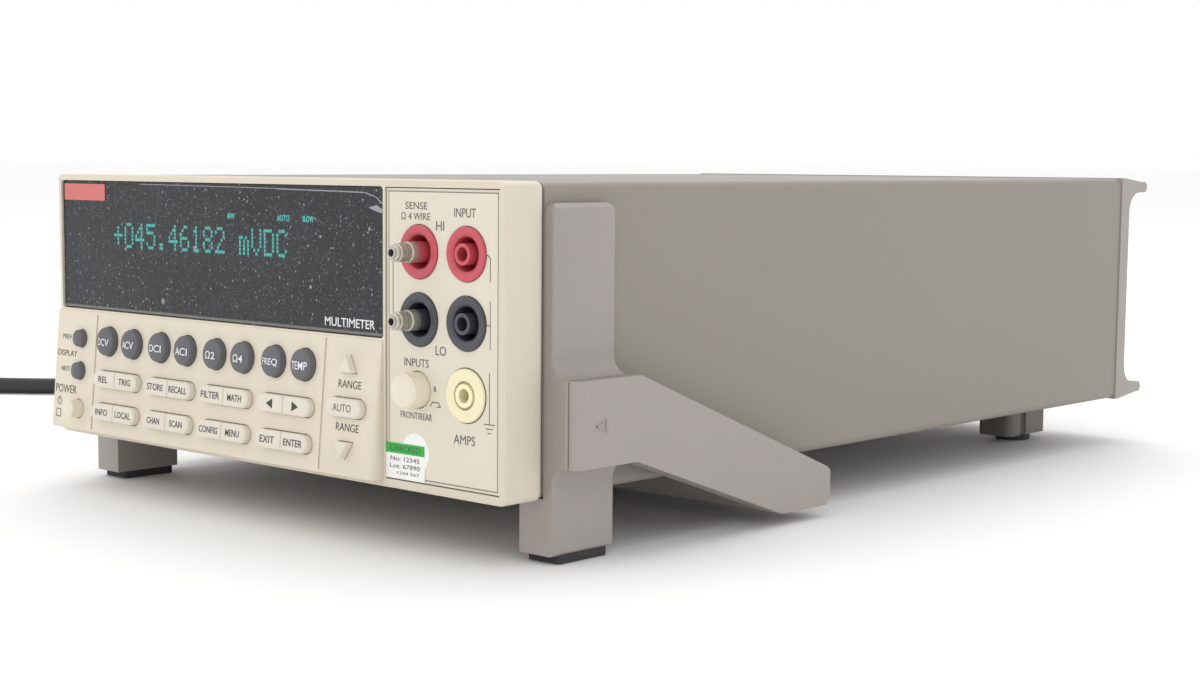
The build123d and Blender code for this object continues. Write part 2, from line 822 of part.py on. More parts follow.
with BuildPart() as transformer:
    with BuildSketch(level(tray_top)):
        with Locations((-72, face_y + 286)):
            Rectangle(56, 48)
    extrude(amount=38)
    fillet(transformer.edges().filter_by(Axis.Z), 4.0)
transformer.part.label = "transformer"
export_step(transformer.part, "parts/transformer.step")

fan_body = 20.0
fan_depth = 10.0
fan_back = panel_y - 1.5

with BuildPart() as fan_frame:
    with BuildSketch(facing(fan_back)):
        with Locations((fan_x, fan_z)):
            RectangleRounded(2 * fan_body, 2 * fan_body, 3.0)
            Circle(18.4, mode=Mode.SUBTRACT)
    extrude(amount=fan_depth)
    with BuildSketch(facing(fan_back - fan_depth + 1.6)):
        with Locations((fan_x, fan_z)):
            Rectangle(38.4, 2.4)
            Rectangle(2.4, 38.4)
            Circle(9.0)
    extrude(amount=1.6)
fan_frame.part.label = "fan_frame"
export_step(fan_frame.part, "parts/fan_frame.step")

with BuildPart() as fan_rotor:
    with BuildSketch(facing(fan_back - 0.8)):
        with Locations((fan_x, fan_z)):
            Circle(9.5)
    extrude(amount=fan_depth - 3.4)
    blade_count = 7
    with BuildSketch(facing(fan_back - 1.2)):
        with Locations((fan_x, fan_z)):
            with PolarLocations(13.0, blade_count):
                with Locations(Location((0, 0, 0), (0, 0, 24))):
                    Rectangle(9.0, 2.0)
    extrude(amount=fan_depth - 4.4)
fan_rotor.part.label = "fan_rotor"
export_step(fan_rotor.part, "parts/fan_rotor.step")

# ---------------------------------------------------------------- rear connectors
with BuildPart() as power_inlet:
    with BuildSketch(behind(panel_y)):
        with Locations((-inlet_x, inlet_z)):
            Rectangle(36.0, 26.0)
            Rectangle(24.6, 16.6, mode=Mode.SUBTRACT)
    extrude(amount=2.5)
    with BuildSketch(behind(panel_y)):
        with Locations((-inlet_x, inlet_z)):
            Rectangle(29.6, 20.6)
            Rectangle(24.6, 16.6, mode=Mode.SUBTRACT)
    extrude(amount=-16.0)
    with BuildSketch(behind(panel_y - 16)):
        with Locations((-inlet_x, inlet_z)):
            Rectangle(29.6, 20.6)
    extrude(amount=-2.0)
power_inlet.part.label = "power_inlet"
export_step(power_inlet.part, "parts/power_inlet.step")

with BuildPart() as rear_ports:
    with BuildSketch(behind(panel_y)):
        with Locations((-bus_x, bus_z)):
            RectangleRounded(60.0, 15.0, 2.0)
        with Locations((-serial_x, serial_z)):
            RectangleRounded(31.0, 12.5, 2.0)
    extrude(amount=1.2)
    with BuildSketch(behind(panel_y + 1.2)):
        with Locations((-bus_x, bus_z)):
            RectangleRounded(41.0, 10.4, 2.5)
            RectangleRounded(38.6, 8.0, 1.8, mode=Mode.SUBTRACT)
        with Locations((-serial_x, serial_z)):
            RectangleRounded(17.6, 8.6, 2.0)
            RectangleRounded(16.0, 7.0, 1.5, mode=Mode.SUBTRACT)
    extrude(amount=5.5)
    with BuildSketch(behind(panel_y)):
        with Locations((-bnc_x, rear_hi_z), (-bnc_x, rear_lo_z)):
            RegularPolygon(7.6, 6)
    extrude(amount=2.4)
    with BuildSketch(behind(panel_y + 2.4)):
        with Locations((-bnc_x, rear_hi_z), (-bnc_x, rear_lo_z)):
            Circle(4.8)
            Circle(4.1, mode=Mode.SUBTRACT)
    extrude(amount=10.0)
    with BuildSketch(behind(panel_y + 2.4)):
        with Locations((-bnc_x, rear_hi_z), (-bnc_x, rear_lo_z)):
            Circle(2.2)
    extrude(amount=8.0)
    with BuildSketch(behind(panel_y)):
        with Locations((-din_x, rear_hi_z), (-din_x, rear_lo_z)):
            Circle(7.4)
            Circle(4.6, mode=Mode.SUBTRACT)
    extrude(amount=1.6)
    with BuildSketch(behind(panel_y)):
        with Locations((-din_x, rear_hi_z), (-din_x, rear_lo_z)):
            Circle(5.8)
    extrude(amount=-6.0)
rear_ports.part.label = "rear_ports"
export_step(rear_ports.part, "parts/rear_ports.step")

screw_spots = [(34.0, 39.5), (94.0, 39.5), (inlet_x - 22.0, 35.0), (inlet_x + 22.0, 35.0)]
screw_spots += [(fan_x - 18.0, 90.2), (fan_x + 18.0, 90.2), (0.0, 88.0), (94.0, 90.0)]

with BuildPart() as screws:
    for screw_x, screw_z in screw_spots:
        with BuildSketch(behind(panel_y)):
            with Locations((-screw_x, screw_z)):
                Circle(2.6)
        extrude(amount=1.7)
    fillet(screws.edges().group_by(Axis.Y)[-1], 0.8)
screws.part.label = "screws"
export_step(screws.part, "parts/screws.step")

# ---------------------------------------------------------------- mains lead
boot_end = panel_y + 62.0

with BuildPart() as cord_connector:
    with BuildSketch(behind(panel_y + 2.5)):
        with Locations((-inlet_x, inlet_z)):
            RectangleRounded(24.0, 16.0, 2.0)
    extrude(amount=-15.0)
    with BuildSketch(behind(panel_y + 2.5)):
        with Locations((-inlet_x, inlet_z)):
            RectangleRounded(27.0, 19.0, 3.0)
    extrude(amount=24.0)
    with BuildSketch(behind(panel_y + 26.5)):
        with Locations((-inlet_x, inlet_z)):
            Circle(7.0)
    with BuildSketch(behind(boot_end)):
        with Locations((-inlet_x, inlet_z)):
            Circle(cord_r + 0.9)
    loft()
cord_connector.part.label = "cord_connector"
export_step(cord_connector.part, "parts/cord_connector.step")

route = [
    (inlet_x, boot_end, inlet_z),
    (-73.0, boot_end + 38.0, 41.0),
    (-80.0, boot_end + 74.0, 24.0),
    (-95.0, boot_end + 108.0, 7.0),
    (-126.0, boot_end + 132.0, cord_r),
    (-166.0, boot_end + 131.0, cord_r),
    (-196.0, boot_end + 103.0, cord_r),
    (-211.0, boot_end + 58.0, cord_r),
    (-213.0, 236.0, cord_r),
    (-208.0, 186.0, cord_r),
    (-208.0, 134.0, cord_r),
    (-219.0, 84.0, cord_r),
    (-246.0, 40.0, cord_r),
    (-281.0, 4.0, cord_r),
    (-316.0, -30.0, cord_r),
    (-347.0, -58.0, cord_r),
    (-389.0, -88.0, cord_r),
    (-434.0, -103.6, cord_r),
]
route_points = [Vector(*point) for point in route]


def corner_radii(points):
    """The arc at each corner: 0.45 of its shorter run over the tangent of half the turn."""
    radii = []
    for before, here, after in zip(points, points[1:], points[2:]):
        run_in = here - before
        run_out = after - here
        half_turn = radians(run_in.get_angle(run_out)) / 2
        radii.append(0.45 * min(run_in.length, run_out.length) / tan(half_turn))
    return radii


cord_radii = corner_radii(route_points)
print("cord radii", [round(radius, 1) for radius in cord_radii])

with BuildPart() as power_cord:
    with BuildLine() as cord_line:
        FilletPolyline(*route_points, radius=cord_radii)
    with BuildSketch(Plane(origin=route_points[0], z_dir=cord_line.wire() % 0)):
        Circle(cord_r)
    sweep(transition=Transition.ROUND)
cord_length = cord_line.wire().length
print("cord run", round(cord_length, 1), "volume ratio",
      round(power_cord.part.volume / (pi * cord_r ** 2 * cord_length), 4))
power_cord.part.label = "power_cord"
export_step(power_cord.part, "parts/power_cord.step")

coil_turn_r = 37.0      # middle of the coil's turns
coil_x = -446.0
coil_y = -61.0
coil_half_w = 3 * cord_r + 0.3
coil_h = 4 * cord_r + 0.4

with BuildPart() as cord_coil:
    with BuildSketch(level(0)):
        with Locations((coil_x, coil_y)):
            Circle(coil_turn_r + coil_half_w)
            Circle(coil_turn_r - coil_half_w, mode=Mode.SUBTRACT)
    extrude(amount=coil_h)
    fillet(cord_coil.edges(), 3.0)
cord_coil.part.label = "cord_coil"
export_step(cord_coil.part, "parts/cord_coil.step")

plug_x = coil_x - 58.0
plug_y = coil_y + 24.0  # back of the plug's body

with BuildPart() as mains_plug:
    with BuildSketch(facing(plug_y)):
        with Locations((plug_x, 14.0)):
            RectangleRounded(28.0, 27.0, 8.0)
    extrude(amount=-32.0)
    with BuildSketch(facing(plug_y)):
        with Locations((plug_x, 14.0)):
            Circle(8.0)
    with BuildSketch(facing(plug_y - 34.0)):
        with Locations((plug_x + 8.0, 7.5)):
            Circle(cord_r + 0.9)
    loft()
    with BuildSketch(facing(plug_y + 32.0)):
        with Locations((plug_x - 6.35, 17.0), (plug_x + 6.35, 17.0)):
            Rectangle(1.6, 6.4)
        with Locations((plug_x, 7.5)):
            Circle(2.4)
    extrude(amount=-18.0)
mains_plug.part.label = "mains_plug"
export_step(mains_plug.part, "parts/mains_plug.step")
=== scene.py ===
"""Looks of the half-rack bench multimeter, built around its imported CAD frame.

Metres. Small sizes are given in millimetres and multiplied by MM.
"""

from math import cos, pi, radians, sin, sqrt

import bpy
from mathutils import Matrix, Vector


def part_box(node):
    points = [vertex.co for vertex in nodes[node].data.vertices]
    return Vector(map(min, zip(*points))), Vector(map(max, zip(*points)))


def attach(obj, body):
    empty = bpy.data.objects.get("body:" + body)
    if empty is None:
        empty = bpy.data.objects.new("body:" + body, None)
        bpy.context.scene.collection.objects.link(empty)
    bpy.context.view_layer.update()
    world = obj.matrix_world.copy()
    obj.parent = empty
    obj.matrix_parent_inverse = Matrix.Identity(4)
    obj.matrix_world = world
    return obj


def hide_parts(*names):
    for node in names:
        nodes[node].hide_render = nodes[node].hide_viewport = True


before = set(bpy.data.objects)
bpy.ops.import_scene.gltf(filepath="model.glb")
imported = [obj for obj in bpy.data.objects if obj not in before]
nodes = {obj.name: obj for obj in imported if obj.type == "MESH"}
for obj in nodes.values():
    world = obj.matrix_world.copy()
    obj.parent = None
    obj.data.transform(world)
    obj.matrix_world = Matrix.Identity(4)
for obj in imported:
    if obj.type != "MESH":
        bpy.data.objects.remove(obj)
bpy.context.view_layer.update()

MM = 0.001
CORD_R = 3.65 * MM
FACE_Y = -179.0                 # mm, front face of the bezel
TERMINAL_Y = FACE_Y + 0.5       # mm, face of the terminal panel
LENS_Y = FACE_Y + 0.7           # mm, face of the display window
PANEL_Y = 169.0                 # mm, outer face of the rear panel
FIELD_TOP = 60.0                # mm, top edge of the leaning key field
FIELD_LEAN = radians(5.0)


# ---------------------------------------------------------------- camera
def make_camera():
    """The camera stands front right of the instrument, a little above it."""
    forward = Vector((-0.68153, 0.72532, -0.09712)).normalized()
    level = forward.cross(Vector((0, 0, 1))).normalized()
    overhead = level.cross(forward)
    roll = radians(0.35)
    right = level * cos(roll) + overhead * sin(roll)
    up = overhead * cos(roll) - level * sin(roll)
    data = bpy.data.cameras.new("camera")
    data.lens = 58.39
    data.sensor_width = 36.0
    data.shift_x = 0.0413
    data.shift_y = 0.0109
    data.clip_start = 0.02
    data.clip_end = 60.0
    camera = bpy.data.objects.new("camera", data)
    bpy.context.scene.collection.objects.link(camera)
    turn = Matrix((right, up, -forward)).transposed().to_4x4()
    camera.matrix_world = Matrix.Translation((0.4716, -0.5490, 0.1115)) @ turn
    bpy.context.scene.camera = camera


make_camera()


# ---------------------------------------------------------------- mains lead
BOOT_END = (-0.072, 0.231, 0.045)
ROUTE = [
    BOOT_END,
    (-0.073, 0.269, 0.041),
    (-0.080, 0.305, 0.024),
    (-0.095, 0.339, 0.007),
    (-0.126, 0.363, CORD_R),
    (-0.166, 0.362, CORD_R),
    (-0.196, 0.334, CORD_R),
    (-0.211, 0.289, CORD_R),
    (-0.213, 0.236, CORD_R),
    (-0.208, 0.186, CORD_R),
    (-0.208, 0.134, CORD_R),
    (-0.219, 0.084, CORD_R),
    (-0.246, 0.040, CORD_R),
    (-0.281, 0.004, CORD_R),
    (-0.316, -0.030, CORD_R),
    (-0.347, -0.058, CORD_R),
    (-0.389, -0.088, CORD_R),
]
COIL_X, COIL_Y = -0.446, -0.061
COIL_OUT, COIL_IN = 44.3 * MM, 29.5 * MM
LAYER = 2 * CORD_R + 0.15 * MM
TO_PLUG = [(-0.4925, -0.0765, 0.0092), (-0.497, -0.069, 0.0076), (-0.4988, -0.060, 0.0084)]


def coil_points():
    """Two turns inwards on the floor, a climb, then two turns outwards on top of them."""
    first, per_turn, turns = radians(-74), 18, 4.18
    points = []
    for step in range(round(turns * per_turn) + 1):
        t = step / per_turn
        climb = min(max((t - 2.0) / 0.25, 0.0), 1.0)
        inward = min(t, 2.0) / 2.0
        outward = min(max((t - 2.25) / 2.0, 0.0), 1.0)
        radius = COIL_OUT - (COIL_OUT - COIL_IN) * (inward - outward)
        angle = first - 2 * pi * t
        points.append((COIL_X + radius * cos(angle), COIL_Y + radius * sin(angle), CORD_R + LAYER * climb))
    return points


def make_cord():
    """The lead as one smooth curve: the run to the coil, the coil and the end in the plug."""
    line = ROUTE + coil_points() + TO_PLUG
    data = bpy.data.curves.new("mains_lead", "CURVE")
    data.dimensions = "3D"
    data.bevel_depth = 1.0
    data.bevel_resolution = 4
    data.resolution_u = 8
    data.use_fill_caps = True
    spline = data.splines.new("NURBS")
    spline.points.add(len(line) - 1)
    for point, place in zip(spline.points, line):
        point.co = (*place, 1.0)
        point.radius = CORD_R
    spline.order_u = 3
    spline.use_endpoint_u = True
    cord = bpy.data.objects.new("mains_lead", data)
    bpy.context.scene.collection.objects.link(cord)
    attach(cord, "case")
    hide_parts("power_cord", "cord_coil")
    return cord


mains_lead = make_cord()


# ---------------------------------------------------------------- shader helpers
def colour(red, green, blue):
    """A display colour from 0 to 255 as a linear colour."""
    def linear(value):
        value /= 255
        return value / 12.92 if value <= 0.04045 else ((value + 0.055) / 1.055) ** 2.4
    return (linear(red), linear(green), linear(blue), 1.0)


def shade(tint, by):
    """The same tint, lighter or darker."""
    return (min(tint[0] * by, 1), min(tint[1] * by, 1), min(tint[2] * by, 1), 1.0)


class Surface:
    """A material under construction: its Principled shader and the nodes that feed it."""

    def __init__(self, name, **sockets):
        self.material = bpy.data.materials.new(name)
        self.material.use_nodes = True
        self.tree = self.material.node_tree
        self.shader = self.tree.nodes["Principled BSDF"]
        self.coords = self.tree.nodes.new("ShaderNodeTexCoord").outputs["Object"]
        for socket, value in sockets.items():
            self.shader.inputs[socket.replace("_", " ")].default_value = value

    def link(self, output, node, socket):
        self.tree.links.new(output, node.inputs[socket])

    def feed(self, socket, output):
        self.tree.links.new(output, self.shader.inputs[socket])

    def noise(self, size, detail=3.0, stretch=(1, 1, 1), rough=0.5):
        """Noise with features of about that size in metres."""
        scaling = self.tree.nodes.new("ShaderNodeMapping")
        scaling.inputs["Scale"].default_value = stretch
        self.link(self.coords, scaling, "Vector")
        noise = self.tree.nodes.new("ShaderNodeTexNoise")
        noise.inputs["Scale"].default_value = 1 / size
        noise.inputs["Detail"].default_value = detail
        noise.inputs["Roughness"].default_value = rough
        self.link(scaling.outputs[0], noise, "Vector")
        return noise.outputs[0]

    def specks(self, size, radius, share):
        """1 inside round specks: one possible in each cell, in that share of the cells."""
        cells = self.tree.nodes.new("ShaderNodeTexVoronoi")
        cells.inputs["Scale"].default_value = 1 / size
        self.link(self.coords, cells, "Vector")
        near = self.spread(cells.outputs["Distance"], radius, radius * 0.6, 0.0, 1.0)
        parts = self.tree.nodes.new("ShaderNodeSeparateColor")
        self.link(cells.outputs["Color"], parts, 0)
        chosen = self.spread(parts.outputs[0], 1 - share, 1 - share * 0.4, 0.0, 1.0)
        return self.math("MULTIPLY", near, chosen)

    def spread(self, value, low, high, to_low, to_high):
        """The value's range from low to high, stretched over the new range."""
        node = self.tree.nodes.new("ShaderNodeMapRange")
        self.link(value, node, "Value")
        for socket, number in (("From Min", low), ("From Max", high), ("To Min", to_low), ("To Max", to_high)):
            node.inputs[socket].default_value = number
        return node.outputs[0]

    def math(self, operation, first, second):
        node = self.tree.nodes.new("ShaderNodeMath")
        node.operation = operation
        self.link(first, node, 0)
        if isinstance(second, (int, float)):
            node.inputs[1].default_value = second
        else:
            self.link(second, node, 1)
        return node.outputs[0]

    def blend(self, factor, first, second):
        """A mix of two colours, each a colour or an output."""
        node = self.tree.nodes.new("ShaderNodeMix")
        node.data_type = "RGBA"
        self.link(factor, node, 0)
        for socket, value in ((6, first), (7, second)):
            if isinstance(value, tuple):
                node.inputs[socket].default_value = value
            else:
                self.link(value, node, socket)
        return node.outputs[2]

    def axis(self, name):
        """One coordinate of the surface point, in metres."""
        parts = self.tree.nodes.new("ShaderNodeSeparateXYZ")
        self.link(self.coords, parts, 0)
        return parts.outputs[name]

    def edges(self):
        """Near 1 on sharp outer edges, which the materials paint lighter."""
        geometry = self.tree.nodes.new("ShaderNodeNewGeometry")
        return self.spread(geometry.outputs["Pointiness"], 0.51, 0.60, 0.0, 1.0)

    def bump(self, *layers):
        """Relief from pairs of height and depth in metres."""
        normal = None
        for height, depth in layers:
            node = self.tree.nodes.new("ShaderNodeBump")
            node.inputs["Distance"].default_value = depth
            self.link(height, node, "Height")
            if normal:
                self.link(normal, node, "Normal")
            normal = node.outputs[0]
        self.feed("Normal", normal)


def moulded(name, tint, roughness, grain=0.35, depth=0.02, mottle=0.05, dust=0.0, **sockets):
    """Moulded plastic with a fine grain, faint clouding, lighter sharp edges and a little dust. mm."""
    made = Surface(name, **sockets)
    clouds = made.noise(0.05, detail=4)
    fine = made.noise(grain * MM, detail=2)
    body = made.blend(clouds, shade(tint, 1 - mottle), shade(tint, 1 + mottle))
    # sharp outer edges painted lighter
    body = made.blend(made.math("MULTIPLY", made.edges(), 0.35), body, shade(tint, 1.25))
    if dust:
        lint = made.math("MULTIPLY", made.specks(0.007, 0.07, 0.3), dust)
        body = made.blend(lint, body, shade(tint, 0.45))
    made.feed("Base Color", body)
    sheen = made.noise(0.018, detail=5)
    made.feed("Roughness", made.spread(sheen, 0.3, 0.7, roughness - 0.06, roughness + 0.06))
    made.bump((fine, depth * MM), (clouds, 0.05 * MM))
    return made.material


def metal(name, tint, roughness, brushed=(1, 1, 1), depth=0.01):
    """Plated or bare metal, with a drawn or turned finish along the stretched axis."""
    made = Surface(name, Metallic=1.0)
    marks = made.noise(0.0006, detail=4, stretch=brushed)
    stain = made.noise(0.012, detail=4)
    made.feed("Base Color", made.blend(stain, shade(tint, 0.8), shade(tint, 1.08)))
    made.feed("Roughness", made.spread(marks, 0.3, 0.7, roughness - 0.08, roughness + 0.1))
    made.bump((marks, depth * MM))
    return made.material


def print_and_painted_light(name, tint, roughness=0.6):
    """Printed lettering and the painted shade and light lines, slightly uneven."""
    made = Surface(name)
    made.feed("Base Color", made.blend(made.noise(0.0008), shade(tint, 0.85), shade(tint, 1.12)))
    made.feed("Roughness", made.spread(made.noise(0.002), 0.3, 0.7, roughness - 0.05, roughness + 0.1))
    return made.material


# ---------------------------------------------------------------- materials
def painted_case():
    """Textured paint on the folded cover: orange peel, soft stains and fine dust."""
    tint = colour(141, 134, 128)
    made = Surface("case_paint")
    peel = made.noise(0.0011, detail=2)
    clouds = made.noise(0.09, detail=5)
    body = made.blend(clouds, shade(tint, 0.955), shade(tint, 1.045))
    scuffs = made.noise(0.03, detail=6, stretch=(1, 0.12, 1.6), rough=0.7)
    body = made.blend(made.spread(scuffs, 0.66, 0.8, 0.0, 0.18), body, shade(tint, 1.2))
    body = made.blend(made.math("MULTIPLY", made.specks(0.012, 0.045, 0.35), 0.35), body, shade(tint, 0.6))
    # sharp outer edges painted lighter
    body = made.blend(made.math("MULTIPLY", made.edges(), 0.3), body, shade(tint, 1.2))
    made.feed("Base Color", body)
    made.feed("Roughness", made.spread(clouds, 0.3, 0.7, 0.42, 0.54))
    made.bump((peel, 0.03 * MM))
    return made.material


def smoked_window():
    """Smoked acrylic with dust specks and faint wiped streaks; what glows behind it shows through."""
    made = Surface("lens_dark", Alpha=0.78, IOR=1.49)
    tint = colour(42, 43, 48)
    streaks = made.noise(0.0011, detail=4, stretch=(1, 1, 0.06), rough=0.65)
    haze = made.noise(0.03, detail=5, rough=0.6)
    body = made.blend(made.spread(haze, 0.3, 0.7, 0.0, 1.0), shade(tint, 0.6), shade(tint, 1.25))
    body = made.blend(made.spread(streaks, 0.50, 0.74, 0.0, 0.24), body, colour(96, 96, 102))
    body = made.blend(made.math("MULTIPLY", made.specks(0.0009, 0.32, 0.6), 0.7), body, colour(136, 136, 142))
    body = made.blend(made.math("MULTIPLY", made.specks(0.0019, 0.23, 0.55), 0.85), body, colour(158, 158, 164))
    body = made.blend(made.specks(0.0052, 0.12, 0.5), body, colour(176, 176, 182))
    body = made.blend(made.specks(0.016, 0.085, 0.4), body, colour(150, 150, 156))
    made.feed("Base Color", body)
    made.feed("Roughness", made.spread(haze, 0.3, 0.7, 0.2, 0.4))
    made.bump((haze, 0.03 * MM))
    return made.material


def circuit_board():
    """Green solder resist with paler tracks."""
    made = Surface("board", Coat_Weight=0.3)
    tracks = made.noise(0.004, detail=1, stretch=(1, 6, 1))
    copper = made.spread(tracks, 0.48, 0.52, 0, 1)
    made.feed("Base Color", made.blend(copper, colour(20, 70, 40), colour(40, 105, 60)))
    made.feed("Roughness", made.spread(tracks, 0.4, 0.6, 0.35, 0.5))
    made.bump((tracks, 0.03 * MM))
    return made.material


def cord_rubber():
    """Soft black vinyl; the plug's blades past its face are bare metal."""
    made = Surface("cord_plastic")
    tint = colour(38, 38, 41)
    fine = made.noise(0.0009, detail=3)
    smears = made.noise(0.02, detail=4)
    made.feed("Base Color", made.blend(smears, shade(tint, 0.8), shade(tint, 1.35)))
    made.feed("Roughness", made.spread(smears, 0.3, 0.7, 0.42, 0.6))
    made.bump((fine, 0.03 * MM))
    return made.material


def plug_rubber():
    """The cord's vinyl with brass blades, told apart by place."""
    made = Surface("plug_plastic")
    tint = colour(38, 38, 41)
    smears = made.noise(0.015, detail=4)
    plug_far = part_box("mains_plug")[1].y
    blade = made.spread(made.axis("Y"), plug_far - 0.0181, plug_far - 0.0179, 0.0, 1.0)
    body = made.blend(smears, shade(tint, 0.8), shade(tint, 1.3))
    made.feed("Base Color", made.blend(blade, body, colour(205, 190, 150)))
    made.feed("Metallic", blade)
    made.feed("Roughness", made.spread(smears, 0.3, 0.7, 0.36, 0.52))
    made.bump((made.noise(0.0009, detail=3), 0.03 * MM))
    return made.material


def port_metal():
    """Plated connector shells with dark moulded bodies inside them."""
    made = Surface("port_metal", Metallic=1.0)
    stain = made.noise(0.008, detail=4)
    made.feed("Base Color", made.blend(stain, colour(150, 148, 142), colour(205, 203, 196)))
    made.feed("Roughness", made.spread(stain, 0.3, 0.7, 0.25, 0.42))
    made.bump((made.noise(0.0008, detail=3), 0.01 * MM))
    return made.material


CREAM = colour(216, 206, 188)
PALE = colour(222, 215, 201)
STONE = colour(156, 149, 145)

bezel_plastic = moulded("bezel_plastic", CREAM, 0.46, grain=0.45, depth=0.018, dust=0.35)
terminal_plastic = moulded("terminal_plastic", colour(215, 207, 190), 0.44, grain=0.5, depth=0.01, dust=0.2)
ear_plastic = moulded("ear_plastic", STONE, 0.45, grain=0.5, depth=0.03, mottle=0.04, dust=0.3)
foot_plastic = moulded("foot_plastic", colour(118, 112, 108), 0.5, grain=0.5, depth=0.03)
pad_rubber = moulded("pad_rubber", colour(50, 51, 56), 0.75, grain=0.6, depth=0.05, mottle=0.12)
key_dark = moulded("key_dark", colour(98, 98, 103), 0.55, grain=0.3, depth=0.03, mottle=0.12)
key_cream = moulded("key_cream", PALE, 0.42, grain=0.4, depth=0.012, dust=0.25)
button_cream = moulded("button_cream", colour(228, 219, 199), 0.42, grain=0.4, depth=0.012, dust=0.25)
jack_red = moulded("jack_red", colour(196, 78, 90), 0.3, grain=0.6, depth=0.012, mottle=0.08, dust=0.3,
                   Coat_Weight=0.15)
jack_black = moulded("jack_black", colour(66, 67, 75), 0.3, grain=0.6, depth=0.012, mottle=0.1, dust=0.3,
                     Coat_Weight=0.15)
jack_yellow = moulded("jack_yellow", colour(240, 230, 192), 0.34, grain=0.6, depth=0.012, Coat_Weight=0.15)
tube_dark = moulded("tube_dark", colour(30, 36, 38), 0.3, grain=0.4, depth=0.01)
fan_black = moulded("fan_black", colour(26, 26, 28), 0.45, grain=0.5, depth=0.02)
inlet_black = moulded("inlet_black", colour(30, 30, 32), 0.42, grain=0.4, depth=0.02)
winding = moulded("winding", colour(92, 84, 74), 0.5, grain=1.0, depth=0.1)
nickel = metal("nickel", colour(198, 196, 186), 0.45, brushed=(0.15, 1, 0.15), depth=0.02)
screw_steel = metal("screw_steel", colour(150, 150, 150), 0.34)
panel_steel = metal("panel_steel", colour(188, 184, 172), 0.42, brushed=(0.2, 1, 1))
case_paint = painted_case()
lens_dark = smoked_window()
board_green = circuit_board()
cord_black = cord_rubber()
plug_black = plug_rubber()
ports = port_metal()

ink_grey = print_and_painted_light("ink_grey", colour(92, 92, 92))
ink_dark = print_and_painted_light("ink_dark", colour(66, 66, 68))
# Painted shade: dark lines for the shade in the gaps round the jack flanges and the terminal panel.
gap_shade_dark = print_and_painted_light("gap_shade_dark", colour(78, 73, 66))
# Painted shade: a darker line for the shade at the bottom of the groove round the terminal panel.
groove_shade_grey = print_and_painted_light("groove_shade_grey", colour(128, 120, 108))
ink_white = print_and_painted_light("ink_white", colour(235, 236, 238))
badge_red = print_and_painted_light("badge_red", colour(208, 112, 108), 0.4)
label_white = print_and_painted_light("label_white", colour(244, 244, 240), 0.5)
label_green = print_and_painted_light("label_green", colour(44, 172, 66), 0.5)
# Painted highlight: pale grey for the light caught along the film's crease and for a glare patch on the window.
film_highlight = print_and_painted_light("film_highlight", colour(150, 152, 158), 0.35)
# Painted light: paler grey for the light on the window's bottom and right bevels.
bevel_light_grey = print_and_painted_light("bevel_light_grey", colour(112, 110, 106), 0.3)

NODE_MATERIALS = {
    "front_bezel": bezel_plastic, "rear_bezel": ear_plastic, "terminal_panel": terminal_plastic,
    "display_lens": lens_dark, "display_tube": tube_dark, "front_board": board_green,
    "digital_board": board_green, "analog_board": board_green, "transformer": winding,
    "jacks_red": jack_red, "jacks_black": jack_black, "sense_adapters": nickel,
    "amps_fuse_carrier": jack_yellow, "inputs_button": button_cream, "power_button": button_cream,
    "case_cover": case_paint, "chassis": panel_steel, "right_ear": ear_plastic,
    "left_ear": ear_plastic, "handle": ear_plastic, "rear_feet": foot_plastic,
    "foot_pads": pad_rubber, "fan_frame": fan_black, "fan_rotor": fan_black,
    "power_inlet": inlet_black, "rear_ports": ports, "screws": screw_steel,
    "cord_connector": cord_black, "mains_plug": plug_black,
}
DARK_KEYS = ["dcv", "acv", "dci", "aci", "ohm2", "ohm4", "freq", "temp", "prev", "next"]

for node_name, node in nodes.items():
    made = NODE_MATERIALS.get(node_name)
    if made is None:
        made = key_dark if node_name.removesuffix("_key") in DARK_KEYS else key_cream
    node.data.materials.clear()
    node.data.materials.append(made)
mains_lead.data.materials.append(cord_black)


# ---------------------------------------------------------------- making pieces
def piece(name, points, faces, material, body):
    """A mesh piece from points in metres, riding on a CAD body."""
    mesh = bpy.data.meshes.new(name)
    mesh.from_pydata([tuple(p) for p in points], [], faces)
    mesh.validate()
    mesh.materials.append(material)
    made = bpy.data.objects.new(name, mesh)
    bpy.context.scene.collection.objects.link(made)
    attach(made, body)
    return made


def upright(y, out=-1):
    """Maps across, height and rise in mm to a wall that looks to the front, or to the back."""
    return lambda u, v, w: Vector((u, y + out * w, v)) * MM


def side_wall(x):
    """Maps depth, height and rise in mm to a wall that looks to +X."""
    return lambda u, v, w: Vector((x + w, u, v)) * MM


def key_field(u, v, w):
    """Maps across, height and rise in mm to the leaning key field."""
    down = (v - FIELD_TOP) / cos(FIELD_LEAN)
    y = FACE_Y - 0.3 + down * sin(FIELD_LEAN) - w * cos(FIELD_LEAN)
    z = FIELD_TOP + down * cos(FIELD_LEAN) + w * sin(FIELD_LEAN)
    return Vector((u, y, z)) * MM


def slab(outline, low, high):
    """Points and faces of a flat shape in u and v between two rises."""
    count = len(outline)
    points = [(u, v, low) for u, v in outline] + [(u, v, high) for u, v in outline]
    faces = [tuple(reversed(range(count))), tuple(range(count, 2 * count))]
    faces += [(i, (i + 1) % count, count + (i + 1) % count, count + i) for i in range(count)]
    return points, faces


def rectangle(u, v, width, height):
    return [(u - width / 2, v - height / 2), (u + width / 2, v - height / 2),
            (u + width / 2, v + height / 2), (u - width / 2, v + height / 2)]


def disc(u, v, radius, sides=32):
    return [(u + radius * cos(2 * pi * i / sides), v + radius * sin(2 * pi * i / sides)) for i in range(sides)]


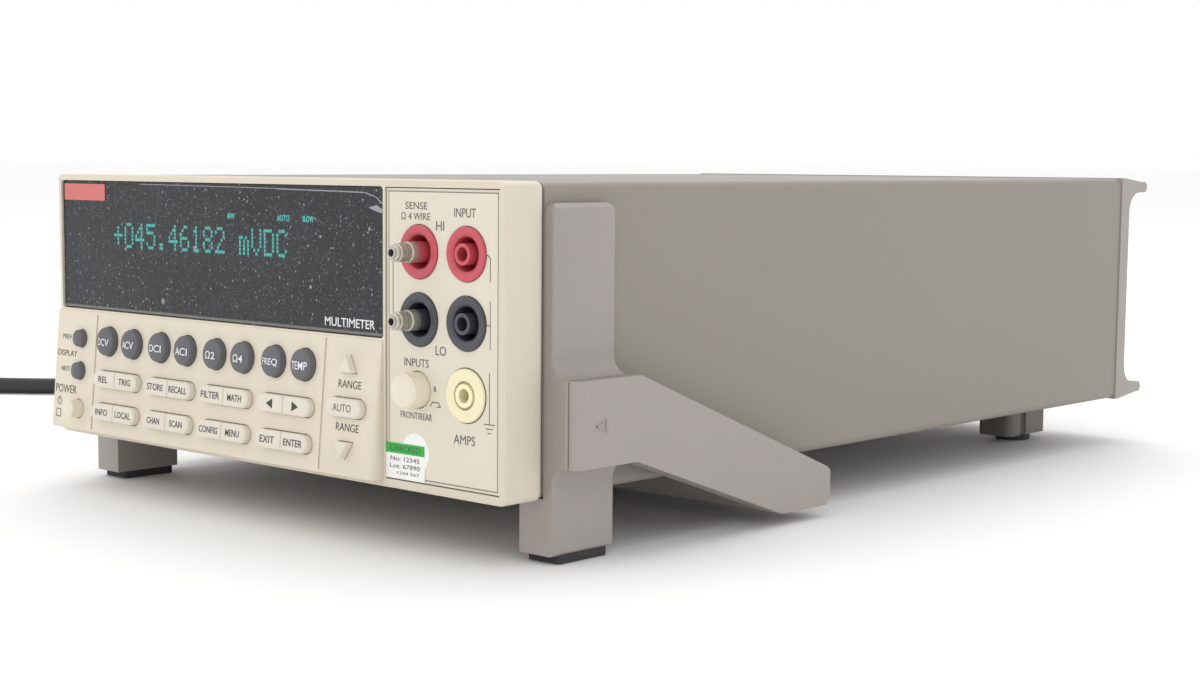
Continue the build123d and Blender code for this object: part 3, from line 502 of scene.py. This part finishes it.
def stroke(points, width):
    """Outlines of the straight strokes of a line, for print and for painted light and shade."""
    outlines = []
    for (u0, v0), (u1, v1) in zip(points, points[1:]):
        run = Vector((u1 - u0, v1 - v0))
        side = Vector((-run.y, run.x)).normalized() * width / 2
        ahead = run.normalized() * width / 2
        outlines.append([(u0 - ahead.x - side.x, v0 - ahead.y - side.y),
                         (u1 + ahead.x - side.x, v1 + ahead.y - side.y),
                         (u1 + ahead.x + side.x, v1 + ahead.y + side.y),
                         (u0 - ahead.x + side.x, v0 - ahead.y + side.y)])
    return outlines


def arc(u, v, radius, first, last, steps=10):
    """Points along an arc, in degrees."""
    return [(u + radius * cos(radians(first + (last - first) * i / steps)),
             v + radius * sin(radians(first + (last - first) * i / steps))) for i in range(steps + 1)]


def flat_piece(name, outlines, wall, material, body, low=0.0, high=0.05):
    """One piece of several flat shapes that lie on a wall."""
    points, faces = [], []
    for outline in outlines:
        more, sides = slab(outline, low, high)
        faces += [tuple(len(points) + i for i in side) for side in sides]
        points += [wall(*p) for p in more]
    return piece(name, points, faces, material, body)


def letters(words, heavy):
    """Points and faces of some words. Each is (text, u, v, height, width or None), by its middle."""
    points, faces = [], []
    for text, u, v, height, width in words:
        data = bpy.data.curves.new("letters", "FONT")
        data.body = text
        data.extrude = 0.5
        data.offset = heavy
        data.resolution_u = 3
        holder = bpy.data.objects.new("letters", data)
        bpy.context.scene.collection.objects.link(holder)
        bpy.context.view_layer.update()
        mesh = bpy.data.meshes.new_from_object(holder.evaluated_get(bpy.context.evaluated_depsgraph_get()))
        us = [p.co.x for p in mesh.vertices]
        vs = [p.co.y for p in mesh.vertices]
        grow_v = height / (max(vs) - min(vs))
        grow_u = width / (max(us) - min(us)) if width else grow_v * 0.92
        mid_u, mid_v = (max(us) + min(us)) / 2, (max(vs) + min(vs)) / 2
        start = len(points)
        points += [(u + (p.co.x - mid_u) * grow_u, v + (p.co.y - mid_v) * grow_v, p.co.z + 0.5)
                   for p in mesh.vertices]
        faces += [tuple(start + i for i in f.vertices) for f in mesh.polygons]
        bpy.data.objects.remove(holder)
        bpy.data.curves.remove(data)
        bpy.data.meshes.remove(mesh)
    return points, faces


def lettering(name, words, wall, material, body, rise=None, thick=0.05, heavy=0.0):
    """Printed words on a wall. rise gives the height of a curved surface over it."""
    points, faces = letters(words, heavy)
    lift = rise or (lambda u, v: 0.0)
    placed = [wall(u, v, lift(u, v) + 0.005 + w * thick) for u, v, w in points]
    return piece(name, placed, faces, material, body)


# ---------------------------------------------------------------- key field
FIELD_WORDS = [
    ("DISPLAY", -100.3, 45.3, 2.0, 11.4), ("POWER", -99.9, 33.2, 2.8, 12.4),
    ("PREV", -100.9, 50.9, 1.6, 5.2), ("NEXT", -100.9, 40.0, 1.6, 5.0),
    ("RANGE", 45.7, 46.6, 2.3, 10.0), ("RANGE", 45.7, 34.1, 2.3, 10.0),
]
FUNCTION_WORDS = {"dcv": "DCV", "acv": "ACV", "dci": "DCI", "aci": "ACI", "ohm2": "Ω2", "ohm4": "Ω4",
                  "freq": "FREQ", "temp": "TEMP"}
PILL_ROWS = [
    (38.2, [("rel", "REL"), ("trig", "TRIG"), ("store", "STORE"), ("recall", "RECALL"),
            ("filter", "FILTER"), ("math", "MATH"), ("left", None), ("right", None)]),
    (27.4, [("info", "INFO"), ("local", "LOCAL"), ("chan", "CHAN"), ("scan", "SCAN"),
            ("config", "CONFIG"), ("menu", "MENU"), ("exit", "EXIT"), ("enter", "ENTER")]),
]
COLUMNS = [-69.1 + 29.1 * i for i in range(4)]
PAIR_HALF = 6.95
FUNCTION_Z, FUNCTION_RISE, FUNCTION_CROWN = 50.8, 2.2, 0.7
CROWN_FLAT = 4.8 * 0.97 - 0.6     # radius at which the crown turns down into the rim
CROWN_R = (CROWN_FLAT ** 2 + FUNCTION_CROWN ** 2) / (2 * FUNCTION_CROWN)
FILM = 0.18                       # the legend's height over the crown
PILL_RISE = 2.3
WORD_WIDTHS = {3: 5.2, 4: 6.8, 5: 8.6, 6: 9.4}
SYMBOL_LINE = 0.25


def print_key_field():
    lettering("field_words", FIELD_WORDS, key_field, ink_dark, "case")
    circle = stroke(arc(-103.5, 28.9, 1.15, 60, 390, 14), SYMBOL_LINE)
    bar = stroke([(-103.5, 29.2), (-103.5, 30.5)], SYMBOL_LINE)
    box = stroke(rectangle(-103.7, 24.8, 2.5, 2.5) + [(-104.95, 23.55)], SYMBOL_LINE)
    flat_piece("power_symbols", circle + bar + box, key_field, ink_dark, "case", 0.005)


def print_keys():
    for index, (key, word) in enumerate(FUNCTION_WORDS.items()):
        x = COLUMNS[index // 2] + (PAIR_HALF if index % 2 else -PAIR_HALF)

        def dome(u, v, x=x):
            """Height of the key's legend, which spans the crown as a flat film does."""
            off = min((u - x) ** 2 + (v - FUNCTION_Z) ** 2, CROWN_FLAT ** 2)
            return FUNCTION_RISE + FUNCTION_CROWN - CROWN_R + sqrt(CROWN_R ** 2 - off) + FILM

        width = 6.9 if len(word) == 4 else 5.8 if len(word) == 3 else 4.6
        lettering(f"{key}_legend", [(word, x + 0.35, FUNCTION_Z - 0.3, 2.4, width)], key_field, ink_white,
                  f"{key}_key", rise=dome, heavy=0.008)
    for z, names in PILL_ROWS:
        for index, (key, word) in enumerate(names):
            side = 1 if index % 2 else -1
            x = COLUMNS[index // 2] + side * (PAIR_HALF - 0.9)
            if word:
                lettering(f"{key}_legend", [(word, x, z, 2.1, WORD_WIDTHS[len(word)])], key_field, ink_dark,
                          f"{key}_key", rise=lambda u, v: PILL_RISE, heavy=0.008)
            else:
                tip = side * 1.5
                triangle = [(x - tip, z - 1.5), (x + tip, z), (x - tip, z + 1.5)]
                flat_piece(f"{key}_legend", [triangle[::side]], key_field, ink_dark, f"{key}_key",
                           PILL_RISE + 0.005, PILL_RISE + 0.05)
    lettering("auto_legend", [("AUTO", 45.3, 39.8, 2.2, 8.0)], key_field, ink_grey, "auto_key",
              rise=lambda u, v: PILL_RISE, thick=0.04)


print_key_field()
print_keys()

# ---------------------------------------------------------------- terminal panel
terminal_wall = upright(TERMINAL_Y)
TERMINAL_WORDS = [
    ("SENSE", 71.9, 98.8, 2.0, 9.0), ("Ω 4 WIRE", 71.6, 95.9, 2.1, 11.8), ("INPUT", 91.3, 97.2, 2.5, 8.4),
    ("HI", 81.5, 93.4, 2.6, 3.2), ("LO", 81.8, 58.8, 2.6, 4.2), ("INPUTS", 71.9, 54.8, 2.3, 10.0),
    ("R", 79.6, 47.9, 1.6, 1.2), ("FRONT/REAR", 71.8, 39.7, 1.9, 13.0), ("AMPS", 91.2, 34.8, 2.6, 8.4),
]
TERMINAL_LINES = [
    [(62.2, 84.0), (62.2, 68.0)],
    [(99.7, 86.0)] + arc(99.7, 84.6, 1.4, 90, 0, 6) + [(101.1, 79.0)],
    [(101.1, 73.5), (101.1, 60.5)], [(99.7, 67.0), (101.1, 67.0)], [(100.9, 54.0), (100.9, 40.0)],
    [(98.8, 40.0), (102.9, 40.0)], [(99.6, 38.8), (102.1, 38.8)], [(100.3, 37.6), (101.4, 37.6)],
    [(77.6, 43.0), (78.4, 44.2), (80.9, 44.2), (81.6, 43.0), (80.2, 43.0)],
]
JACK_SEATS = [(73.0, 86.0), (73.0, 67.0), (92.0, 86.0), (92.0, 67.0), (92.0, 47.2)]
JACK_SHADE_RING = (7.3, 7.78)           # radii of the painted shade line round a flange
# width of the printed lines and of the painted shade lines round the panel
PRINT_AND_SHADE_LINE = 0.26
SEAM_IN, GROOVE_IN = 0.14, 1.15   # middle of the painted shade line in the edge seam and of the one in the groove, in from the panel's edge
STICKER_X = 67.3


def ring(u, v, inner, outer, steps=40):
    """A flat ring as one outline for each of its short pieces."""
    pieces = []
    for i in range(steps):
        a, b = 2 * pi * i / steps, 2 * pi * (i + 1) / steps
        pieces.append([(u + inner * cos(a), v + inner * sin(a)), (u + outer * cos(a), v + outer * sin(a)),
                       (u + outer * cos(b), v + outer * sin(b)), (u + inner * cos(b), v + inner * sin(b))])
    return pieces


def print_terminals():
    lettering("terminal_words", TERMINAL_WORDS, terminal_wall, ink_grey, "case")
    lines = [outline for line in TERMINAL_LINES for outline in stroke(line, PRINT_AND_SHADE_LINE)]
    flat_piece("terminal_lines", lines, terminal_wall, ink_grey, "case", 0.005, 0.04)
    # Painted shade: a dark ring round each jack flange, where shade falls in the gap.
    shade_rings = [outline for u, v in JACK_SEATS for outline in ring(u, v, *JACK_SHADE_RING)]
    flat_piece("jack_shade_rings", shade_rings, terminal_wall, gap_shade_dark, "case", 0.003, 0.03)
    low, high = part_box("terminal_panel")
    left, right, bottom, top = low.x / MM, high.x / MM, low.z / MM, high.z / MM
    # Painted shade: dark lines set inside the gap round the terminal panel.
    gap_shade_lines = []
    for u in (left + SEAM_IN, right - SEAM_IN):
        gap_shade_lines += stroke([(u, bottom), (u, top)], PRINT_AND_SHADE_LINE)
    for v in (bottom + SEAM_IN, top - SEAM_IN):
        gap_shade_lines += stroke([(left, v), (right, v)], PRINT_AND_SHADE_LINE)
    flat_piece("panel_gap_shade", gap_shade_lines, terminal_wall, gap_shade_dark, "case", -0.68, -0.2)
    # Painted shade: a darker line at the bottom of the groove round the panel.
    inner = [(left + GROOVE_IN, bottom + GROOVE_IN), (right - GROOVE_IN, bottom + GROOVE_IN),
             (right - GROOVE_IN, top - GROOVE_IN), (left + GROOVE_IN, top - GROOVE_IN),
             (left + GROOVE_IN, bottom + GROOVE_IN)]
    flat_piece("panel_groove_shade", stroke(inner, 0.22), terminal_wall, groove_shade_grey, "case", -0.28, 0.01)
    flat_piece("round_label", [disc(71.4, 29.0, 5.7, 40)], terminal_wall, label_white, "case", 0.01, 0.08)
    flat_piece("date_label", [rectangle(STICKER_X, 26.2, 16.2, 10.4)], terminal_wall, label_white, "case",
               0.09, 0.17)
    flat_piece("date_label_band", [rectangle(STICKER_X, 29.8, 16.1, 3.0)], terminal_wall, label_green, "case",
               0.17, 0.2)
    sticker_words = [("CHECKED", STICKER_X, 29.8, 1.7, 12.6), ("No: 12345", 67.2, 26.8, 1.3, 12.0),
                     ("Lot: 67890", 67.2, 24.7, 1.3, 12.4), ("1234 567", 68.6, 22.8, 0.8, 9.0)]
    sticker_face = upright(TERMINAL_Y - 0.19)
    lettering("date_label_words", sticker_words, sticker_face, ink_dark, "case", thick=0.02)


print_terminals()

# ---------------------------------------------------------------- display
GLYPHS = {
    "+": ["     ", "  #  ", "  #  ", "#####", "  #  ", "  #  ", "     "],
    "0": [" ### ", "#   #", "#   #", "#   #", "#   #", "#   #", " ### "],
    "1": ["  #  ", " ##  ", "  #  ", "  #  ", "  #  ", "  #  ", " ### "],
    "2": [" ### ", "#   #", "    #", "   # ", "  #  ", " #   ", "#####"],
    "4": ["   # ", "  ## ", " # # ", "#  # ", "#####", "   # ", "   # "],
    "5": ["#####", "#    ", "#### ", "    #", "    #", "#   #", " ### "],
    "6": ["  ## ", " #   ", "#    ", "#### ", "#   #", "#   #", " ### "],
    "8": [" ### ", "#   #", "#   #", " ### ", "#   #", "#   #", " ### "],
    ".": ["     ", "     ", "     ", "     ", "     ", " ##  ", " ##  "],
    "m": ["     ", "     ", "## # ", "# # #", "# # #", "# # #", "# # #"],
    "V": ["#   #", "#   #", "#   #", "#   #", "#   #", " # # ", "  #  "],
    "D": ["#### ", "#   #", "#   #", "#   #", "#   #", "#   #", "#### "],
    "C": [" ### ", "#   #", "#    ", "#    ", "#    ", "#   #", " ### "],
    " ": ["     "] * 7,
}
READING = "+045.46182 mVDC"
READING_LEFT, READING_PITCH = -79.0, 6.14
DOT_TOP, DOT_ROW, DOT_COLUMN = 89.6, 1.22, 1.0
TUBE_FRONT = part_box("display_tube")[0].y / MM


def glow(name, tint, strength):
    """Phosphor that shines through the smoked window."""
    made = Surface(name, Emission_Strength=strength)
    made.shader.inputs["Base Color"].default_value = shade(tint, 0.4)
    made.feed("Emission Color", made.blend(made.noise(0.006), shade(tint, 0.7), tint))
    made.feed("Roughness", made.spread(made.noise(0.002), 0.3, 0.7, 0.4, 0.6))
    return made.material


def light_display():
    lit, dim = [], []
    for index, character in enumerate(READING):
        for row, line in enumerate(GLYPHS[character]):
            for column, mark in enumerate(line):
                u = READING_LEFT + READING_PITCH * index + (column - 2) * DOT_COLUMN
                v = DOT_TOP - row * DOT_ROW
                (lit if mark == "#" else dim).append(rectangle(u, v, 0.82, 0.97))
    wall = upright(TUBE_FRONT)
    phosphor = glow("phosphor_lit", colour(80, 238, 228), 11.5)
    flat_piece("display_dots", lit, wall, phosphor, "case", 0.02, 0.06)
    resting = glow("phosphor_off", colour(90, 110, 110), 0.05)
    flat_piece("display_dots_off", dim, wall, resting, "case", 0.02, 0.06)
    lettering("display_flags", [("4W", -17.9, 93.7, 1.9, 4.0), ("AUTO", 7.8, 93.7, 1.9, 6.0),
                                ("SLOW", 19.5, 93.7, 1.9, 5.2)],
              wall, phosphor, "case", heavy=0.03)


def dress_window():
    wall = upright(LENS_Y)
    flat_piece("badge", [rectangle(-91.7, 100.1, 23.7, 5.5)], wall, badge_red, "case", 0.01, 0.25)
    lettering("window_words", [("MULTIMETER", 43.2, 64.2, 2.6, 22.0)], wall, ink_white, "case", heavy=0.006)
    low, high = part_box("display_lens")
    left, right = low.x / MM, high.x / MM
    bottom, top = low.z / MM, high.z / MM
    # Painted light: the bevel's bottom and right strips are coloured paler than the smoked acrylic, for the
    # light that falls on them.
    bevel_light = stroke([(left + 0.9, bottom + 0.85), (right - 0.9, bottom + 0.85)], 0.8)
    bevel_light += stroke([(right - 0.7, bottom + 0.9), (right - 0.7, top - 0.9)], 0.5)
    flat_piece("window_bevel_light", bevel_light, wall, bevel_light_grey, "case", 0.003, 0.03)
    # Painted highlight: the film's crease is drawn as pale lines for the light it catches, and a pale patch is
    # painted glare.
    film = stroke([(10.0, 102.6), (24.0, 102.45), (38.0, 102.3), (50.0, 102.1), (54.5, 101.0),
                   (57.9, 98.9)], 0.34)
    film += stroke([(-60.0, 103.1), (-20.0, 102.9), (10.0, 102.7)], 0.22)
    flat_piece("film_crease_highlight", film, wall, film_highlight, "case", 0.003, 0.05)
    glare_patch = [(51.6, 97.9), (55.2, 98.6), (57.8, 97.3), (57.2, 96.3), (53.6, 97.2)]
    flat_piece("film_glare", [glare_patch], wall, film_highlight, "case", 0.003, 0.06)


light_display()
dress_window()

# ---------------------------------------------------------------- handle mark
arm_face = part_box("handle")[1].x / MM
flat_piece("handle_mark", stroke([(-151.2, 40.4), (-155.2, 38.9), (-151.2, 37.4), (-151.2, 40.4)], 0.35),
           side_wall(arm_face), ear_plastic, "handle", -0.1, 0.3)

# ---------------------------------------------------------------- back
rear_wall = upright(PANEL_Y, out=1)
bus_x, bus_z, serial_x, serial_z = -8.0, 42.0, -8.0, 64.0
SCREWS = [(34.0, 39.5), (94.0, 39.5), (-94.0, 35.0), (-50.0, 35.0), (-90.0, 90.2), (-54.0, 90.2),
          (0.0, 88.0), (94.0, 90.0)]


def mirrored(words):
    """Words for the rear wall, which is read from the back."""
    return [(text, -x, z, height, width) for text, x, z, height, width in words]


def rear_letters(name, words, material):
    lettering(name, mirrored(words), lambda u, v, w: rear_wall(-u, v, w), material, "case")


def dress_back():
    rear_letters("rear_words", [
        ("SENSE", 69.0, 88.5, 1.8, 8.0), ("INPUT", 88.0, 88.5, 1.8, 8.0), ("HI", 78.5, 84.0, 1.8, None),
        ("LO", 78.5, 52.0, 1.8, None), ("TRIGGER", 44.0, 88.0, 1.6, 10.0), ("DIGITAL", 22.0, 88.0, 1.6, 9.0),
        ("SERIAL", serial_x, 73.0, 1.6, 8.0), ("INTERFACE", bus_x, 52.5, 1.6, 13.0),
        ("LINE", -42.0, 58.0, 1.8, 6.0), ("SLOT", 64.0, 47.5, 1.6, 6.0)], ink_dark)
    pins = []
    for row, count in ((1.3, 12), (-1.3, 12)):
        pins += [rectangle(bus_x + (i - (count - 1) / 2) * 2.16, bus_z + row, 0.8, 0.9) for i in range(count)]
    for row, count in ((1.4, 5), (-1.4, 4)):
        pins += [disc(serial_x + (i - (count - 1) / 2) * 2.76, serial_z + row, 0.5, 12) for i in range(count)]
    flat_piece("port_pins", pins, rear_wall, nickel, "case", 1.0, 5.6)
    insulators = [rectangle(bus_x, bus_z, 38.0, 7.4), rectangle(serial_x, serial_z, 15.4, 6.4)]
    flat_piece("port_insulators", insulators, rear_wall, inlet_black, "case", 0.9, 2.6)
    cover = stroke(rectangle(64.0, 39.5, 66.0, 12.5) + [(31.0, 33.25)], 0.35)
    flat_piece("slot_outline", cover, rear_wall, ink_dark, "case", 0.003, 0.03)
    # Painted shade: each screw slot is a flat black cross on the steel head, for the shade inside it.
    slot_shade = [outline for x, z in SCREWS for outline in stroke([(x - 1.5, z), (x + 1.5, z)], 0.5)
             + stroke([(x, z - 1.5), (x, z + 1.5)], 0.5)]
    flat_piece("screw_slot_shade", slot_shade, rear_wall, inlet_black, "case", 1.66, 1.72)


dress_back()


# ---------------------------------------------------------------- strain relief
def boot_ribs():
    """Rings round the tapered strain relief behind the mains connector."""
    sides, tube_sides, points, faces = 32, 8, [], []
    axis = Vector(BOOT_END)
    start, end = PANEL_Y * MM + 0.0295, BOOT_END[1] - 0.002
    rings = 8
    for ring in range(rings):
        y = start + (end - start) * ring / (rings - 1)
        share = (y - start) / (BOOT_END[1] - start)
        radius = (7.0 + (4.55 - 7.0) * share) * MM
        base = len(points)
        for i in range(sides):
            turn = 2 * pi * i / sides
            for j in range(tube_sides):
                roll = 2 * pi * j / tube_sides
                out = radius + 0.55 * MM * cos(roll)
                points.append((axis.x + out * cos(turn), y + 0.9 * MM * sin(roll), axis.z + out * sin(turn)))
        for i in range(sides):
            for j in range(tube_sides):
                a, b = i * tube_sides + j, i * tube_sides + (j + 1) % tube_sides
                c, d = ((i + 1) % sides) * tube_sides + (j + 1) % tube_sides, ((i + 1) % sides) * tube_sides + j
                faces.append((base + a, base + b, base + c, base + d))
    ribs = piece("boot_ribs", points, faces, cord_black, "case")
    for polygon in ribs.data.polygons:
        polygon.use_smooth = True


boot_ribs()


# ---------------------------------------------------------------- studio
FLOOR_HALF = 40


def make_floor():
    """A plain pale table top that runs out of sight."""
    mesh = bpy.data.meshes.new("floor")
    corners = [(x * FLOOR_HALF, y * FLOOR_HALF, -0.0002) for x, y in ((-1, -1), (1, -1), (1, 1), (-1, 1))]
    mesh.from_pydata(corners, [], [(0, 1, 2, 3)])
    made = Surface("floor_paper", Roughness=0.7)
    clouds = made.noise(0.6, detail=2)
    made.feed("Base Color", made.blend(clouds, (0.955, 0.955, 0.955, 1), (0.98, 0.98, 0.98, 1)))
    mesh.materials.append(made.material)
    floor = bpy.data.objects.new("floor", mesh)
    bpy.context.scene.collection.objects.link(floor)


def soft_light(name, place, target, size, power):
    data = bpy.data.lights.new(name, "AREA")
    data.shape = "RECTANGLE"
    data.size, data.size_y = size
    data.energy = power
    lamp = bpy.data.objects.new(name, data)
    bpy.context.scene.collection.objects.link(lamp)
    lamp.location = place
    lamp.rotation_euler = (Vector(target) - Vector(place)).to_track_quat("-Z", "Y").to_euler()


def make_studio():
    make_floor()
    world = bpy.data.worlds.new("studio")
    world.use_nodes = True
    world.node_tree.nodes["Background"].inputs["Color"].default_value = (1.0, 1.0, 1.0, 1.0)
    world.node_tree.nodes["Background"].inputs["Strength"].default_value = 1.0
    bpy.context.scene.world = world
    soft_light("top", (-0.5, 0.7, 1.9), (0, 0, 0), (1.6, 1.6), 12)
    soft_light("front", (-0.9, -1.7, 1.2), (0, 0, 0.05), (1.2, 0.9), 3)
    bpy.context.scene.view_settings.view_transform = "Standard"
    bpy.context.scene.view_settings.look = "None"


make_studio()
